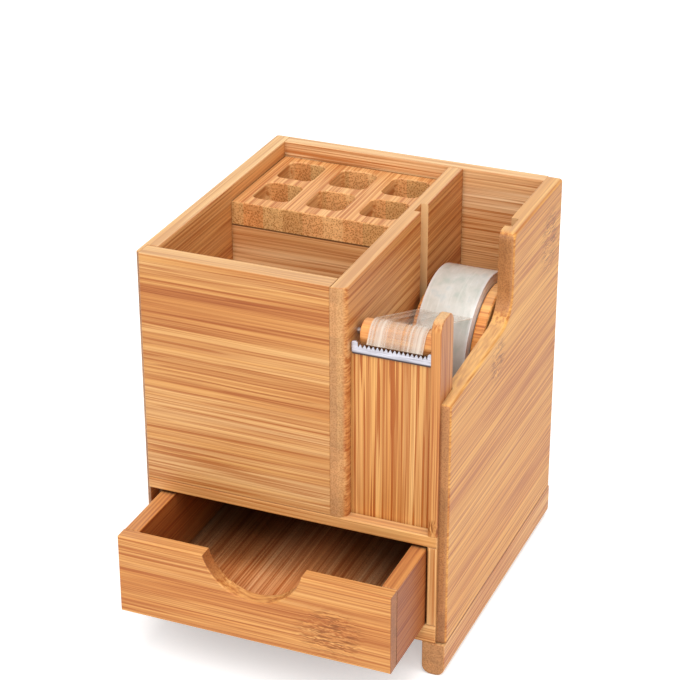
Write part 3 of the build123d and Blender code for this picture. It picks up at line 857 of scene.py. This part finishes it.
outline = [(blade_low.x, blade_low.z + LOW_CHAMFER), *tab_top(blade_low.x, 1),
           *reversed(tab_top(blade_high.x, -1)), (blade_high.x, blade_low.z + LOW_CHAMFER),
           (blade_high.x - LOW_CHAMFER, blade_low.z), (blade_low.x + LOW_CHAMFER, blade_low.z)]
shell = bmesh.new()
face = shell.faces.new([shell.verts.new((x, blade_low.y, z)) for x, z in outline])
grown = bmesh.ops.extrude_face_region(shell, geom=[face])
for item in grown["geom"]:
    if isinstance(item, bmesh.types.BMVert):
        item.co.y += THICK
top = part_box("tape_front_panel")[1][2]
flange_y = blade_low.y + FLANGE_SET_BACK
corners = [shell.verts.new((x, y, z)) for x in (blade_low.x, blade_high.x)
           for y, z in ((flange_y, top), (blade_high.y, top),
                        (blade_high.y, top + THICK), (flange_y, top + THICK))]
for loop in SIX_SIDES:
    shell.faces.new([corners[i] for i in loop])
body = bpy.data.meshes.new("blade_body")
shell.to_mesh(body)
shell.free()

# %% [markdown]
# ### Sixteen teeth
# The teeth are one small ground wedge, which Geometry Nodes puts at equal steps along the leg
# with Instance on Points. Making one and repeating it keeps them all alike, and their number
# is a single value. Their roots reach a little into the leg, so that no gap shows. Two
# neighbours meet foot to foot in one edge, which so has four faces and isn't open.

# %% Teeth along the blade
ROOT_SUNK, TIP_FRONT, TIP_REAR, TIP_SHARE = 0.1 * MM, 0.2 * MM, 0.3 * MM, 0.06
wedge = bmesh.new()
pitch = (blade_high.x - blade_low.x - 2 * TAB) / TEETH
front = blade_low.y
foot, point = pitch / 2, TIP_SHARE * pitch
spots = [wedge.verts.new(place) for root_y, tip_y in ((front, front + TIP_FRONT),
                                                      (front + THICK, front + TIP_REAR))
         for place in ((-foot, root_y, root_z - ROOT_SUNK), (foot, root_y, root_z - ROOT_SUNK),
                       (point, tip_y, tip_z), (-point, tip_y, tip_z))]
for loop in SIX_SIDES:
    wedge.faces.new([spots[i] for i in loop])
tooth_mesh = bpy.data.meshes.new("tooth")
wedge.to_mesh(tooth_mesh)
wedge.free()
tooth = bpy.data.objects.new("tooth", tooth_mesh)
scene.collection.objects.link(tooth)

row, given = geometry_tree("teeth_in_a_row", (("Tooth", "Object"), ("Count", "Int"),
                                              ("Start", "Vector"), ("Step", "Vector")))
places = row.nodes.new("GeometryNodeMeshLine")
one = row.nodes.new("GeometryNodeObjectInfo")
many = row.nodes.new("GeometryNodeInstanceOnPoints")
joined = row.nodes.new("GeometryNodeJoinGeometry")
link_and_finish(row, given, (
    (given["Count"], places.inputs["Count"]), (given["Start"], places.inputs["Start Location"]),
    (given["Step"], places.inputs["Offset"]), (given["Tooth"], one.inputs["Object"]),
    (places.outputs[0], many.inputs["Points"]),
    (one.outputs["Geometry"], many.inputs["Instance"]),
    (given["Geometry"], joined.inputs[0]), (many.outputs[0], joined.inputs[0])),
    joined.outputs[0])

# %% [markdown]
# ### Bright steel
# Stamped sheet is bright with fine marks along its length, so the same stretched noise sets
# both the colour and the roughness. The finish is darker along the lower edge, where the rolled
# rim turns into shadow.

# %% Bright steel and the finished blade
RIM_DARK, RIM_BRIGHT = 0.4 * MM, 0.9 * MM
steel, tree, shader = new_material("blade_steel")
where = add(tree, "TexCoord").outputs["Object"]
height = add(tree, "SeparateXYZ", ((0, where),)).outputs["Z"]
brushed = noise(tree, stretch(tree, where, (160, 3000, 3000)), 2.0, 0.6)
low_rim = add(tree, "MapRange", (("Value", height), ("From Min", blade_low.z + RIM_DARK),
                                 ("From Max", blade_low.z + RIM_BRIGHT)))
colour = ramp(tree, brushed, ((0.3, "#A3A1A9"), (0.7, "#D6D5DE")))
colour = blend(tree, low_rim.outputs[0], srgb("#4A3E3C"), colour)
shader.inputs["Metallic"].default_value = 0.85
rough = add(tree, "MapRange", (("Value", brushed), ("To Min", 0.22), ("To Max", 0.42)))
tree.links.new(colour, shader.inputs["Base Color"])
tree.links.new(rough.outputs[0], shader.inputs["Roughness"])
blade = grown_mesh("toothed_blade", row, {
    "Tooth": tooth, "Count": TEETH, "Start": (blade_low.x + TAB + pitch / 2, 0, 0),
    "Step": (pitch, 0, 0), "Finish": steel}, body)
bpy.data.objects.remove(tooth)
tidy_faces(blade)
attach(blade, "case")
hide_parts("cutter_blade")
